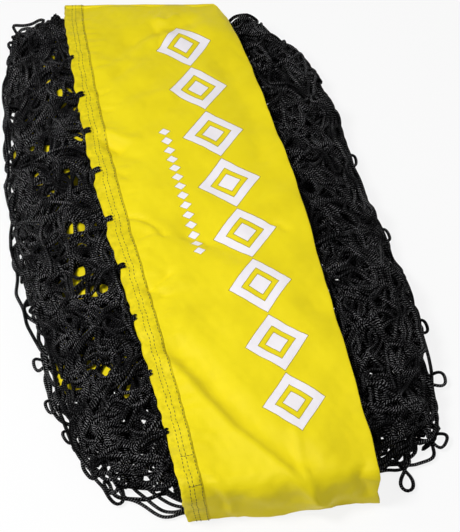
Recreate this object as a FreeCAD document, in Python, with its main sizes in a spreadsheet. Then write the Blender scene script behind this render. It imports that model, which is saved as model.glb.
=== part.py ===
# Folded sports net with a wide sleeve along its top edge, stowed as a flat bundle.
# Millimetres. The sleeve runs along Y, its far end at +Y, and +Z is up. The underside of
# the bundle is at Z = 0 and the origin is below the middle of the whole bundle.
# The netting is one sheet folded to and fro: each pass of it is a net_panel, and a
# net_turn holds the strands that go round from one pass to the next.
import FreeCAD, Part
import math
import os

V = FreeCAD.Vector
doc = FreeCAD.newDocument("folded_net")

# Driving dimensions, each written once. Lengths in millimetres, angles in degrees.
dimensions = {
    "cord": 3.0,             # thickness of the netting's braided cord
    "mesh": 50.0,            # from strand to strand of the netting
    "bundle_width": 305.0,   # netting, across the sleeve
    "bundle_far": 278.0,     # netting's far left corner, ahead of the middle
    "bundle_near": 262.0,    # netting's near edge, behind the middle
    "far_slant": 26.0,       # how much less far the netting reaches on the right
    "waist": 24.0,           # how much the bundle draws in on each side towards its ends
    "stack_height": 45.0,    # top of the uppermost netting under the sleeve
    "foot_width": 16.0,      # flat margin along each side, where the passes lie together
    "crest_margin": 3.5,     # flat top beyond each side of the sleeve that it carries
    "crest_round": 40.0,     # radius between the flat top and the slopes beside it
    "sleeve_width": 145.0,   # flat width of the doubled fabric
    "sleeve_x": 4.0,         # middle of the sleeve, to the right of the bundle's middle
    "ply": 0.6,              # one layer of coated cloth
    "bore": 0.4,             # space between the two layers
    "hem_width": 16.0,       # stitched edge on the left
    "hem_rise": 0.8,         # turned-in cloth of the hem
    "near_slant": 16.0,      # how much nearer the sleeve's near fold ends on the right
    "far_inset_left": 23.0,  # far fold of the sleeve at its left edge, short of bundle_far
    "far_inset_right": 53.0, # and at its right edge
    "dog_ear_x": 8.0,        # corner of the far fold that is tucked under
    "dog_ear_y": 22.0,
    "top_round": 9.0,        # outer radius of the near fold at the top
    "low_round": 4.0,        # and where the sleeve turns under the bundle
    "far_round": 8.0,        # outer radius of the far fold
    "turn_depth": 24.0,      # length of the far fold's lower leg
    "overlap": 30.0,         # the sleeve's near and far halves are one cloth across this
    "lower_inset": 16.0,     # how far the lower pass keeps inside the netting's outline
    "tab_start": 67.0,       # from the far fold to the first netting loop over the hem
    "under_length": 470.0,   # sleeve lying under the bundle
    "lower_reach": 395.0,    # lower pass of the sleeve, measured along Y
    "tab_cord": 2.4,         # netting loops that hold the hem
    "tab_reach": 8.0,        # how far a loop lies over the hem
    "loop_cord": 2.6,        # picot loops along the netting's edge
    "loop_width": 13.0,
    "loop_length": 16.0,
    "loop_bend": 115.0,      # where a loop's straight legs meet its round tip
    "fit_gap": 0.3,          # clearance between pieces that only lie close together
}

sheet = doc.addObject("Spreadsheet::Sheet", "Dimensions")
for line, (name, value) in enumerate(dimensions.items(), start=1):
    sheet.set("A%d" % line, name)
    sheet.set("B%d" % line, str(value))
    sheet.setAlias("B%d" % line, name)
doc.recompute()
size = {name: float(sheet.get(name)) for name in dimensions}

# Sizes that follow from the driving ones.
passThickness = 2 * size["ply"] + size["bore"]
sleeveLeft = size["sleeve_x"] - size["sleeve_width"] / 2
sleeveRight = size["sleeve_x"] + size["sleeve_width"] / 2
halfWidth = size["bundle_width"] / 2
nearLeft = -size["bundle_near"]
nearRight = nearLeft - size["near_slant"]
farLeft = size["bundle_far"] - size["far_inset_left"]
farRight = size["bundle_far"] - size["far_inset_right"]
firstTab = farLeft - size["tab_start"]
tabCount = int((firstTab - nearLeft - size["top_round"]) / size["mesh"]) + 1
panelCount = 6
coveredPanel = 4             # the lower pass of the sleeve lies on this pass of the netting
panelRise = (size["stack_height"] - passThickness - size["cord"]) / (panelCount - 1)
lowerLevel = passThickness + (coveredPanel - 1) * panelRise + size["cord"] + size["fit_gap"]
sleeveTop = size["stack_height"] + passThickness

# Each pass of the netting: the slant of its cross strands, the slant of its long strands,
# the place of one mesh corner (its X, and its distance from the bundle's near edge), and
# how far the pass keeps inside the bundle's outline.
panelLay = {
    1: {"cross": -6.0, "along": 3.0, "corner": (-120.0, 16.0), "inset": 0.0},
    2: {"cross": -2.0, "along": -6.0, "corner": (-96.0, 16.0), "inset": -3.0},
    3: {"cross": -9.0, "along": 7.0, "corner": (-124.0, 30.0), "inset": -6.0},
    4: {"cross": -4.0, "along": -7.0, "corner": (-94.0, 26.0), "inset": -6.0},
    5: {"cross": -7.0, "along": 5.0, "corner": (-114.0, 20.0), "inset": -6.0},
    6: {"cross": -5.0, "along": -4.0, "corner": (-100.0, 22.0), "inset": -6.0},
}

# Picot loops that stand out from the netting's edge: pass, side (+1 right, -1 left) and Y.
edgeLoops = [(3, 1, 84.0), (4, 1, -32.0), (4, 1, -129.0), (3, 1, -180.0), (2, 1, 150.0),
             (3, -1, -97.0), (5, -1, 20.0), (2, -1, -190.0)]


def near_edge(x):
    """Y of the sleeve's near fold at x, which runs at a slant."""
    share = (x - sleeveLeft) / size["sleeve_width"]
    return nearLeft + share * (nearRight - nearLeft)


def far_edge(x):
    """Y of the sleeve's far fold at x."""
    share = (x - sleeveLeft) / size["sleeve_width"]
    return farLeft + share * (farRight - farLeft)


def rounded(points, radii):
    """Lines and tangent arcs through an open row of points; a radius of 0 keeps a corner."""
    pieces = []
    start = points[0]
    for before, corner, after, radius in zip(points, points[1:], points[2:], radii):
        if radius == 0:
            pieces.append(Part.LineSegment(start, corner))
            start = corner
            continue
        back = (before - corner).normalize()
        ahead = (after - corner).normalize()
        half_angle = back.getAngle(ahead) / 2
        reach = radius / math.tan(half_angle)
        middle = (back + ahead).normalize()
        summit = corner + middle * (radius / math.sin(half_angle) - radius)
        enter = corner + back * reach
        leave = corner + ahead * reach
        pieces.append(Part.LineSegment(start, enter))
        pieces.append(Part.Arc(enter, summit, leave))
        start = leave
    pieces.append(Part.LineSegment(start, points[-1]))
    return pieces


def closed_strip(outer, inner):
    """A closed profile between two rows of geometry that run the same way."""
    first_cap = Part.LineSegment(outer[0].StartPoint, inner[0].StartPoint)
    last_cap = Part.LineSegment(outer[-1].EndPoint, inner[-1].EndPoint)
    return outer + [last_cap] + inner + [first_cap]


def add_sketch(body, name, role, geometry, offset=0.0):
    """A sketch on one of the body's own origin planes, moved along that plane's normal."""
    sketch = body.newObject("Sketcher::SketchObject", name)
    plane = [item for item in body.Origin.OriginFeatures if item.Role == role][0]
    sketch.AttachmentSupport = [(plane, "")]
    sketch.MapMode = "FlatFace"
    sketch.AttachmentOffset = FreeCAD.Placement(V(0, 0, offset), FreeCAD.Rotation())
    for piece in geometry:
        sketch.addGeometry(piece)
    return sketch


def polygon(points):
    """Line segments round a closed row of points."""
    return [Part.LineSegment(a, b) for a, b in zip(points, points[1:] + points[:1])]


def panel_levels(number):
    """Heights of a pass's underside: at the flat feet and at the crest."""
    foot = (number - 1) * size["cord"]
    if number > coveredPanel:
        foot += passThickness + size["fit_gap"]
    crest = passThickness + (number - 1) * panelRise
    return foot, crest


def arch_row(number, lift):
    """Cross-section of a pass: flat feet, slopes and a flat crest, raised by lift."""
    foot, crest = panel_levels(number)
    crest_left = sleeveLeft - size["crest_margin"]
    crest_right = sleeveRight + size["crest_margin"]
    edge = halfWidth + size["mesh"]
    inner_foot = halfWidth - size["foot_width"]
    row = [V(-edge, foot + lift, 0), V(-inner_foot, foot + lift, 0), V(crest_left, crest + lift, 0),
           V(crest_right, crest + lift, 0), V(inner_foot, foot + lift, 0), V(edge, foot + lift, 0)]
    return rounded(row, [0, size["crest_round"], size["crest_round"], 0])


def slope_height(number, x):
    """Height of a pass's underside at x, on its feet or on the straight part of a slope."""
    foot, crest = panel_levels(number)
    inner_foot = halfWidth - size["foot_width"]
    crest_edge = size["crest_margin"] + (sleeveRight if x > 0 else -sleeveLeft)
    share = (inner_foot - abs(x)) / (inner_foot - crest_edge)
    return foot + (crest - foot) * min(max(share, 0.0), 1.0)


def arched_sheet(name, number, low_lift, high_lift):
    """A long sheet with a pass's cross-section, from which the pass is cut."""
    body = doc.addObject("PartDesign::Body", name)
    geometry = closed_strip(arch_row(number, low_lift), arch_row(number, high_lift))
    profile = add_sketch(body, name + "_section", "XZ_Plane", geometry)
    pad = body.newObject("PartDesign::Pad", name + "_length")
    pad.Profile = profile
    pad.Midplane = True
    pad.setExpression("Length", "4 * Dimensions.bundle_far")
    return body


def bundle_corners(inset):
    """Corners of the netting's outline seen from above, drawn in by inset."""
    side = halfWidth - inset
    end = side - size["waist"]
    far = size["bundle_far"] - inset
    near = -size["bundle_near"] + inset
    return [(-end, far), (end, far - size["far_slant"]), (side, 0.0), (end, near),
            (-end, near), (-side, 0.0)]


def inside(point, corners):
    """True where a point lies inside a row of corners that runs clockwise."""
    for (ax, ay), (bx, by) in zip(corners, corners[1:] + corners[:1]):
        if (bx - ax) * (point.y - ay) - (by - ay) * (point.x - ax) > 0:
            return False
    return True


class MeshGrid:
    """The meshes of one pass: every whole mesh that lies inside the bundle's outline."""

    def __init__(self, number):
        lay = panelLay[number]
        self.corner = V(lay["corner"][0], nearLeft + lay["corner"][1], 0)
        cross = math.radians(lay["cross"])
        along = math.radians(90 + lay["along"])
        self.across = V(math.cos(cross), math.sin(cross), 0) * size["mesh"]
        self.upward = V(math.cos(along), math.sin(along), 0) * size["mesh"]
        slant = math.sin(along - cross)
        self.half_strand = size["cord"] / slant / size["mesh"] / 2
        corners = bundle_corners(lay["inset"])
        self.rows = {}
        reach = range(-3, 14)
        for row in reach:
            kept = [column for column in reach if self.fits(column, row, corners, number)]
            if kept and kept[-1] - kept[0] + 1 == len(kept):
                self.rows[row] = (kept[0], kept[-1] + 1)

    def point(self, column, row):
        """The place of a mesh corner, whole numbers being the strands' crossings."""
        return self.corner + self.across * column + self.upward * row

    def fits(self, column, row, corners, number):
        """True where a mesh lies inside the outline and clear of the sleeve's folds."""
        for i in (0, 1):
            for j in (0, 1):
                spot = self.point(column + i, row + j)
                if not inside(spot, corners):
                    return False
                beside = spot.x < sleeveLeft - size["cord"] or spot.x > sleeveRight + size["cord"]
                turn = panelRise / 2 + size["cord"]
                if not beside and spot.y < near_edge(spot.x) + passThickness + turn:
                    return False
                if not beside and number > coveredPanel:
                    if spot.y > far_edge(spot.x) - passThickness - turn:
                        return False
        return True

    def quad(self, low, high, first, last, grow):
        """A wire round the meshes from low to high and first to last, grown by half strands."""
        extra = grow * self.half_strand
        corners = [(first - extra, low - extra), (last + extra, low - extra),
                   (last + extra, high + extra), (first - extra, high + extra)]
        spots = [self.point(column, row) for column, row in corners]
        return Part.makePolygon(spots + spots[:1])

    def face(self):
        """The pass laid flat: one face with a hole for each mesh."""
        bands = [Part.Face(self.quad(row, row + 1, first, last, 1))
                 for row, (first, last) in self.rows.items()]
        whole = bands[0].multiFuse(bands[1:]).removeSplitter()
        wires = [whole.Faces[0].OuterWire]
        for row, (first, last) in self.rows.items():
            for column in range(first, last):
                wires.append(self.quad(row, row + 1, column, column + 1, -1))
        return Part.makeFace(wires, "Part::FaceMakerBullseye"), len(wires) - 1

    def end_y(self, x, end):
        """Y of the pass's outermost cross strand at x, on its far (+1) or near (-1) side."""
        order = sorted(self.rows, reverse=end > 0)
        for row in order:
            line = row + 1 if end > 0 else row
            column = (x - self.point(0, line).x) / self.across.x
            first, last = self.rows[row]
            if first <= column <= last:
                rim = size["cord"] / 2 * self.across.Length / self.across.x
                return self.point(column, line).y + end * rim
        return None

    def outer_end_y(self, x, end):
        """Y that a strand of cord's width at x can reach without touching the end strand."""
        both = [self.end_y(x + offset, end) for offset in (-size["cord"] / 2, size["cord"] / 2)]
        return end * max(end * y for y in both)

    def side_spot(self, y, side):
        """Point near y on the rim of an outermost long strand, and its outward direction."""
        strands = []
        for row, (first, last) in self.rows.items():
            column = last if side > 0 else first
            low = self.point(column, row)
            share = (y - low.y) / self.upward.y
            kept = min(max(share, 0.2), 0.8)
            strands.append((abs(share - kept), low + self.upward * kept))
        spot = min(strands, key=lambda strand: strand[0])[1]
        normal = V(self.upward.y, -self.upward.x, 0).normalize() * side
        return spot + normal * (size["cord"] / 2), normal


def net_panel(number):
    """One pass of the netting, its meshes laid over the arch of the passes below."""
    name = "net_panel_%d" % number
    grid = MeshGrid(number)
    face, gaps = grid.face()
    flat = doc.addObject("Part::Feature", name + "_meshes")
    flat.Shape = face
    prism = doc.addObject("Part::Extrusion", name + "_prism")
    prism.Base = flat
    prism.DirMode = "Custom"
    prism.Dir = V(0, 0, 1)
    prism.Solid = True
    prism.setExpression("LengthFwd", "2 * Dimensions.stack_height")
    arch = arched_sheet(name + "_arch", number, 0.0, size["cord"])
    panel = doc.addObject("Part::Common", name)
    panel.Base = prism
    panel.Tool = arch
    return grid, panel, gaps


def turn_strand(x, number, grids, end):
    """Profile of one strand going round from a pass to the next, in the plane of X = x."""
    low_crest = panel_levels(number)[1]
    high_crest = panel_levels(number + 1)[1]
    low_y = grids[number].outer_end_y(x, end)
    high_y = grids[number + 1].outer_end_y(x, end)
    rise = high_crest - low_crest
    radius = (rise + size["cord"]) / 2
    bend = end * max(end * low_y, end * high_y) + end * size["fit_gap"]
    tip = bend + end * radius
    outer = rounded([V(low_y, low_crest, 0), V(tip, low_crest, 0), V(tip, high_crest + size["cord"], 0),
                     V(high_y, high_crest + size["cord"], 0)], [radius * 0.98] * 2)
    inner_tip = tip - end * size["cord"]
    inner = rounded([V(low_y, low_crest + size["cord"], 0), V(inner_tip, low_crest + size["cord"], 0),
                     V(inner_tip, high_crest, 0), V(high_y, high_crest, 0)], [0, 0])
    return closed_strip(outer, inner), tip


def net_turn(number, grids, end):
    """The strands that join two passes at one end, with the cross strand that ties them."""
    name = "net_turn_%d" % number
    body = doc.addObject("PartDesign::Body", name)
    stations = [size["sleeve_x"] + step * size["mesh"] for step in (-1, 0, 1)]
    tips = []
    for index, x in enumerate(stations, start=1):
        geometry, tip = turn_strand(x, number, grids, end)
        profile = add_sketch(body, "%s_path_%d" % (name, index), "YZ_Plane", geometry, x)
        pad = body.newObject("PartDesign::Pad", "%s_strand_%d" % (name, index))
        pad.Profile = profile
        pad.Midplane = True
        pad.setExpression("Length", "Dimensions.cord")
        tips.append((x, tip))
    middle = (panel_levels(number)[1] + panel_levels(number + 1)[1] + size["cord"]) / 2
    row = [V(x, tip - end * size["cord"], 0) for x, tip in tips]
    back = [V(x, tip, 0) for x, tip in reversed(tips)]
    profile = add_sketch(body, name + "_tie", "XY_Plane", polygon(row + back), middle)
    pad = body.newObject("PartDesign::Pad", name + "_cross_strand")
    pad.Profile = profile
    pad.Midplane = True
    pad.setExpression("Length", "Dimensions.cord")
    body.Tip = pad
    return body


def fold_slant(half):
    """Slant of the sleeve's near or far fold, as an angle about Z in degrees."""
    ends = {"near": nearRight - nearLeft, "far": farRight - farLeft}
    return math.degrees(math.atan2(ends[half], size["sleeve_width"]))


def square_to_fold(x, y, half):
    """How far a point lies from the origin, measured square to the near or far fold."""
    slant = math.radians(fold_slant(half))
    return y * math.cos(slant) - x * math.sin(slant)


def near_row(depth):
    """The sleeve from under the bundle up its near side to the middle of the top."""
    near = square_to_fold(sleeveLeft, nearLeft, "near")
    row = [V(near + size["under_length"], depth, 0), V(near + depth, depth, 0),
           V(near + depth, sleeveTop - depth, 0), V(size["overlap"], sleeveTop - depth, 0)]
    return rounded(row, [size["low_round"] - depth, size["top_round"] - depth])


def far_row(depth):
    """The sleeve from the middle of the top round its far fold to the lower leg."""
    far = square_to_fold(sleeveLeft, farLeft, "far")
    row = [V(-size["overlap"], sleeveTop - depth, 0), V(far - depth, sleeveTop - depth, 0),
           V(far - depth, lowerLevel + depth, 0), V(far - size["turn_depth"], lowerLevel + depth, 0)]
    return rounded(row, [size["far_round"] - depth] * 2)


def hem_near_row(depth):
    """The hem from low on the bundle's near side to the middle of the top."""
    near = square_to_fold(sleeveLeft, nearLeft, "near")
    row = [V(near + depth, size["low_round"], 0), V(near + depth, sleeveTop - depth, 0),
           V(size["overlap"], sleeveTop - depth, 0)]
    return rounded(row, [size["top_round"] - depth])


def hem_far_row(depth):
    """The hem along the far half of the top, ending short of the fold."""
    far = square_to_fold(sleeveLeft, farLeft, "far")
    return [Part.LineSegment(V(-size["overlap"], sleeveTop - depth, 0),
                             V(far - size["far_round"], sleeveTop - depth, 0))]


def folded_sheet(name, half, row, outer, inner):
    """A long sheet between two depths that follows a row, square to its fold."""
    body = doc.addObject("PartDesign::Body", name)
    section = add_sketch(body, name + "_section", "YZ_Plane", closed_strip(row(outer), row(inner)))
    section.AttachmentOffset = FreeCAD.Placement(V(), FreeCAD.Rotation(V(0, 1, 0), fold_slant(half)))
    pad = body.newObject("PartDesign::Pad", name + "_length")
    pad.Profile = section
    pad.Midplane = True
    pad.setExpression("Length", "4 * Dimensions.sleeve_width")
    return body


def cloth(name, rows, outer, inner, start, width):
    """Near and far sheets as one cloth, cut to its width from the sleeve's left edge."""
    both = doc.addObject("Part::Fuse", name + "_folded")
    both.Base = folded_sheet(name + "_near", "near", rows[0], outer, inner)
    both.Tool = folded_sheet(name + "_far", "far", rows[1], outer, inner)
    both.Refine = True
    strip = doc.addObject("Part::Box", name + "_strip")
    strip.setExpression("Width", "4 * Dimensions.bundle_far")
    strip.setExpression("Height", "4 * Dimensions.stack_height")
    strip.Length = width
    strip.Placement.Base = V(sleeveLeft + start, -2 * size["bundle_far"], -size["stack_height"])
    cut = doc.addObject("Part::Common", name)
    cut.Base = both
    cut.Tool = strip
    return cut


def make_sleeve():
    """The doubled cloth: under the bundle, up its near side, along the top, round the far end.

    It is open at both ends: closed by the seam on the left and by its own fold on the right.
    """
    rows = (near_row, far_row)
    whole = cloth("sleeve_cloth", rows, 0.0, passThickness, 0.0, size["sleeve_width"])
    bore_width = size["sleeve_width"] - size["hem_width"] - size["ply"]
    bore = cloth("sleeve_bore", rows, size["ply"], size["ply"] + size["bore"], size["hem_width"],
                 bore_width)
    hollow = doc.addObject("Part::Cut", "sleeve_hollow")
    hollow.Base = whole
    hollow.Tool = bore
    inner = sleeveRight - size["dog_ear_x"]
    outer = sleeveRight + size["dog_ear_x"]
    edge = far_edge(sleeveRight)
    corner = [V(inner, far_edge(inner), 0), V(inner, edge + size["dog_ear_y"], 0),
              V(outer, edge + size["dog_ear_y"], 0), V(outer, edge - size["dog_ear_y"], 0),
              V(sleeveRight, edge - size["dog_ear_y"], 0)]
    body = doc.addObject("PartDesign::Body", "dog_ear")
    pad = body.newObject("PartDesign::Pad", "dog_ear_depth")
    pad.Profile = add_sketch(body, "dog_ear_outline", "XY_Plane", polygon(corner), lowerLevel)
    pad.Length = sleeveTop - lowerLevel
    sleeve = doc.addObject("Part::Cut", "sleeve")
    sleeve.Base = hollow
    sleeve.Tool = body
    return sleeve


def make_hem():
    """The turned-in edge of the sleeve, a raised band along its left side."""
    return cloth("sleeve_hem", (hem_near_row, hem_far_row), -size["hem_rise"], 0.0, 0.0,
                 size["hem_width"])


def lower_pass():
    """The sleeve after its far fold, slanting off to the left over a pass of the netting."""
    fold = V(size["sleeve_width"], farRight - farLeft, 0).normalize()
    arriving = V(0, 1, 0)
    leaving = fold * (2 * arriving.dot(fold)) - arriving
    leg = size["turn_depth"] / math.cos(math.radians(fold_slant("far")))
    start_left = V(sleeveLeft, far_edge(sleeveLeft) - leg, 0)
    start_right = V(sleeveRight, far_edge(sleeveRight) - leg, 0)
    run = leaving * (size["lower_reach"] / -leaving.y)
    strip = Part.Face(Part.makePolygon([start_left, start_right, start_right + run,
                                        start_left + run, start_left]))
    rim = [V(x, y, 0) for x, y in bundle_corners(size["lower_inset"])]
    outline = Part.Face(Part.makePolygon(rim + rim[:1]))
    flat = doc.addObject("Part::Feature", "sleeve_lower_pass_outline")
    flat.Shape = strip.common(outline).Faces[0]
    prism = doc.addObject("Part::Extrusion", "sleeve_lower_pass_prism")
    prism.Base = flat
    prism.DirMode = "Custom"
    prism.Dir = V(0, 0, 1)
    prism.Solid = True
    prism.setExpression("LengthFwd", "2 * Dimensions.stack_height")
    lift = size["cord"] + size["fit_gap"]
    arch = arched_sheet("sleeve_lower_pass_arch", coveredPanel, lift, lift + passThickness)
    cloth = doc.addObject("Part::Common", "sleeve_lower_pass")
    cloth.Base = prism
    cloth.Tool = arch
    return cloth


def hem_tab(index, y):
    """A loop of netting cord that comes out round the hem's edge, bent over it."""
    name = "hem_tab_%02d" % index
    cord = size["tab_cord"]
    hem_top = sleeveTop + size["hem_rise"]
    low = size["stack_height"]
    outer = rounded([V(size["tab_reach"], hem_top + cord, 0), V(-cord, hem_top + cord, 0),
                     V(-cord, low, 0)], [cord * 0.9])
    inner = [Part.LineSegment(V(size["tab_reach"], hem_top, 0), V(0, hem_top, 0)),
             Part.LineSegment(V(0, hem_top, 0), V(0, low, 0))]
    body = doc.addObject("PartDesign::Body", name)
    profile = add_sketch(body, name + "_bend", "XZ_Plane", closed_strip(outer, inner))
    pad = body.newObject("PartDesign::Pad", name + "_cord")
    pad.Profile = profile
    pad.Midplane = True
    pad.setExpression("Length", "Dimensions.tab_cord")
    body.Placement = FreeCAD.Placement(V(sleeveLeft, y, 0), FreeCAD.Rotation())
    return body


def drop(width, length, root):
    """A drop-shaped outline that starts and ends on its root and is widest near its tip."""
    radius = width / 2
    centre = length - radius
    bend = math.radians(size["loop_bend"])
    high = V(centre + radius * math.cos(bend), radius * math.sin(bend), 0)
    low = V(high.x, -high.y, 0)
    return [Part.LineSegment(V(0, root, 0), high), Part.Arc(high, V(length, 0, 0), low),
            Part.LineSegment(low, V(0, -root, 0))]


def edge_loop(index, number, side, y, grids):
    """A picot: a drop-shaped loop of cord standing out from the netting's edge strand.

    It lies at the slope of its own pass, so that it keeps clear of the passes above.
    """
    name = "edge_loop_%02d" % index
    cord = size["loop_cord"]
    spot, normal = grids[number].side_spot(y, side)
    outer = drop(size["loop_width"], size["loop_length"], cord)
    inner = drop(size["loop_width"] - 2 * cord, size["loop_length"] - cord, cord * 0.1)
    caps = [Part.LineSegment(V(0, cord, 0), V(0, cord * 0.1, 0)),
            Part.LineSegment(V(0, -cord, 0), V(0, -cord * 0.1, 0))]
    body = doc.addObject("PartDesign::Body", name)
    pad = body.newObject("PartDesign::Pad", name + "_cord")
    pad.Profile = add_sketch(body, name + "_outline", "XY_Plane", outer + inner + caps)
    pad.setExpression("Length", "Dimensions.loop_cord")
    body.Tip = pad
    root_level = slope_height(number, spot.x)
    tip_level = slope_height(number, spot.x + normal.x * size["loop_length"])
    pitch = math.degrees(math.atan2(tip_level - root_level, size["loop_length"]))
    yaw = math.degrees(math.atan2(normal.y, normal.x))
    turn = FreeCAD.Rotation(V(0, 0, 1), yaw).multiply(FreeCAD.Rotation(V(0, 1, 0), -pitch))
    level = root_level + (size["cord"] - cord) / 2
    body.Placement = FreeCAD.Placement(V(spot.x, spot.y, level), turn)
    return body


def centre_on_origin(parts):
    """Move every piece alike, so that the origin is below the middle of the bundle."""
    box = Part.Compound([part.Shape for part in parts]).optimalBoundingBox(False, False)
    shift = V(-box.Center.x, -box.Center.y, -box.ZMin)
    print("moved by", shift)
    for part in parts:
        part.Placement = FreeCAD.Placement(part.Placement.Base + shift, part.Placement.Rotation)


doc.recompute()
grids = {}
parts = []
totalGaps = 0
for number in range(1, panelCount + 1):
    grids[number], panel, gaps = net_panel(number)
    print("pass", number, "meshes", gaps)
    totalGaps += gaps
    parts.append(panel)
print("meshes in all", totalGaps)
for number in range(1, panelCount):
    parts.append(net_turn(number, grids, 1 if number % 2 else -1))
parts.append(make_sleeve())
parts.append(make_hem())
parts.append(lower_pass())
for index in range(1, tabCount + 1):
    parts.append(hem_tab(index, firstTab - (index - 1) * size["mesh"]))
for index, (number, side, y) in enumerate(edgeLoops, start=1):
    parts.append(edge_loop(index, number, side, y, grids))
doc.recompute()
centre_on_origin(parts)
doc.recompute()

os.makedirs("parts", exist_ok=True)
for item in doc.Objects:
    if "Invalid" in item.State or "Error" in item.State:
        raise RuntimeError("%s failed: %s" % (item.Label, item.State))
for part in parts:
    if part.Shape.isNull() or not part.Shape.isValid():
        raise RuntimeError("%s has no valid shape" % part.Label)
    print(part.Label, len(part.Shape.Solids), round(part.Shape.Volume), part.Shape.BoundBox)
    part.Shape.exportStep("parts/%s.step" % part.Label)
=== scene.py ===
import bpy
import bmesh
import math
import numpy as np
from mathutils import Matrix, Vector


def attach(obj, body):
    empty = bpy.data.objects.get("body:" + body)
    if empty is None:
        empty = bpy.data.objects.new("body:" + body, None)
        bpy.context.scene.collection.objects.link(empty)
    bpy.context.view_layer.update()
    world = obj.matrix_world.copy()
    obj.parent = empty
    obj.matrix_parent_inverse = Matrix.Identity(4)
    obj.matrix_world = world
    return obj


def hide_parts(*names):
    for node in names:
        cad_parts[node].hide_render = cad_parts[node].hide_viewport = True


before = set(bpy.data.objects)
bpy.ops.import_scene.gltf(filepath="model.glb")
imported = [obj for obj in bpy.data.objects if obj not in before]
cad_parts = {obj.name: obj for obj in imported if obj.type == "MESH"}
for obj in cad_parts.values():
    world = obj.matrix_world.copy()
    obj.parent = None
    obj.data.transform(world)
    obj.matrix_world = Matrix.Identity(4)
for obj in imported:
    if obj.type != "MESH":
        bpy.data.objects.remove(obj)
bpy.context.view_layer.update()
scene = bpy.context.scene
scene.view_settings.view_transform = "Standard"
mm = 0.001

# camera: aimed at the middle of the photographed bundle
cameraLay = {
    "aim": (0.0196, -0.0474, 0.025), "azimuth": -13.0, "elevation": 50.0, "distance": 1.3, "lens": 112.8,
}


def placeCamera(lay):
    swing = math.radians(lay["azimuth"])
    lift = math.radians(lay["elevation"])
    away = Vector((math.sin(swing) * math.cos(lift), -math.cos(swing) * math.cos(lift), math.sin(lift)))
    data = bpy.data.cameras.new("photoCamera")
    data.lens = lay["lens"]
    data.clip_end = 20
    camera = bpy.data.objects.new("photoCamera", data)
    camera.location = Vector(lay["aim"]) + away * lay["distance"]
    camera.rotation_euler = away.to_track_quat("Z", "Y").to_euler()
    scene.collection.objects.link(camera)
    scene.camera = camera


placeCamera(cameraLay)
print("camera placed")


# helpers for shader nodes
def addNode(tree, kind, **settings):
    node = tree.nodes.new(kind)
    for key, value in settings.items():
        setattr(node, key, value)
    return node


def feed(tree, value, socket):
    if isinstance(value, bpy.types.NodeSocket):
        tree.links.new(value, socket)
    else:
        socket.default_value = value


def outputOf(tree, values, kind, **settings):
    node = addNode(tree, kind, **settings)
    for socket, value in zip(node.inputs, values):
        feed(tree, value, socket)
    return node.outputs[0]


def calc(tree, operation, *values):
    return outputOf(tree, values, "ShaderNodeMath", operation=operation)


def times(tree, first, second):
    return calc(tree, "MULTIPLY", first, second)


def fade(tree, value, low, high, outLow=0.0, outHigh=1.0):
    return outputOf(tree, (value, low, high, outLow, outHigh), "ShaderNodeMapRange", interpolation_type="SMOOTHSTEP")


def mixColour(tree, share, first, second):
    node = addNode(tree, "ShaderNodeMix", data_type="RGBA")
    feed(tree, share, node.inputs[0])
    feed(tree, first, node.inputs[6])
    feed(tree, second, node.inputs[7])
    return node.outputs[2]


def layOf(tree, mapName):
    source = addNode(tree, "ShaderNodeUVMap", uv_map=mapName)
    split = addNode(tree, "ShaderNodeSeparateXYZ")
    tree.links.new(source.outputs[0], split.inputs[0])
    return source.outputs[0], split.outputs[0], split.outputs[1]


def setInputs(tree, node, **values):
    for name, value in values.items():
        feed(tree, value, node.inputs[name])
    return node


def noiseOf(tree, vector, scale, detail, roughness):
    noise = addNode(tree, "ShaderNodeTexNoise")
    return setInputs(tree, noise, Vector=vector, Scale=scale, Detail=detail, Roughness=roughness).outputs["Fac"]


def bumpOf(tree, height, strength, distance):
    bump = addNode(tree, "ShaderNodeBump")
    return setInputs(tree, bump, Height=height, Strength=strength, Distance=distance).outputs[0]


# noise laid through the piece's own space
def objectNoise(tree, scale, roughness):
    spot = addNode(tree, "ShaderNodeTexCoord")
    return noiseOf(tree, spot.outputs["Object"], scale, 2.0, roughness)


def newMaterial(name, roughness, specular):
    material = bpy.data.materials.new(name)
    material.use_nodes = True
    shader = material.node_tree.nodes["Principled BSDF"]
    shader.inputs["Roughness"].default_value = roughness
    shader.inputs["Specular IOR Level"].default_value = specular
    return material, material.node_tree, shader


# the sleeve's cloth: coated plain weave, with a printed row of lozenges
clothLook = {
    "yellow": (0.85, 0.70, 0.006, 1.0),
    "deepYellow": (0.64, 0.50, 0.002, 1.0),
    # painted shade: the hem's colour darkened where its puckers would lie in shade
    "hemPaintedShade": (0.50, 0.40, 0.004, 1.0),
    "print": (0.88, 0.85, 0.92, 1.0),
    "printRim": (0.13, 0.085, 0.02, 1.0),
    "roughness": 0.50, "specular": 0.16, "sheen": 0.03, "sheenRoughness": 0.4,
    "weavePitch": 0.00042, "broadScale": 26.0, "fineScale": 900.0, "gatherScale": 170.0,
    "frameInside": 0.62, "heart": 0.36, "soft": 0.006,
    "bigRow": {"across": 0.0965, "from": -0.2255, "pitch": 0.0548, "count": 8, "halfWidth": 0.0235,
               "halfLength": 0.0262, "rim": 0.028},
    "smallRow": {"across": 0.0600, "from": -0.0500, "pitch": 0.0100, "count": 14, "halfWidth": 0.0044,
                 "halfLength": 0.0040, "rim": 0.10},
}


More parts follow.
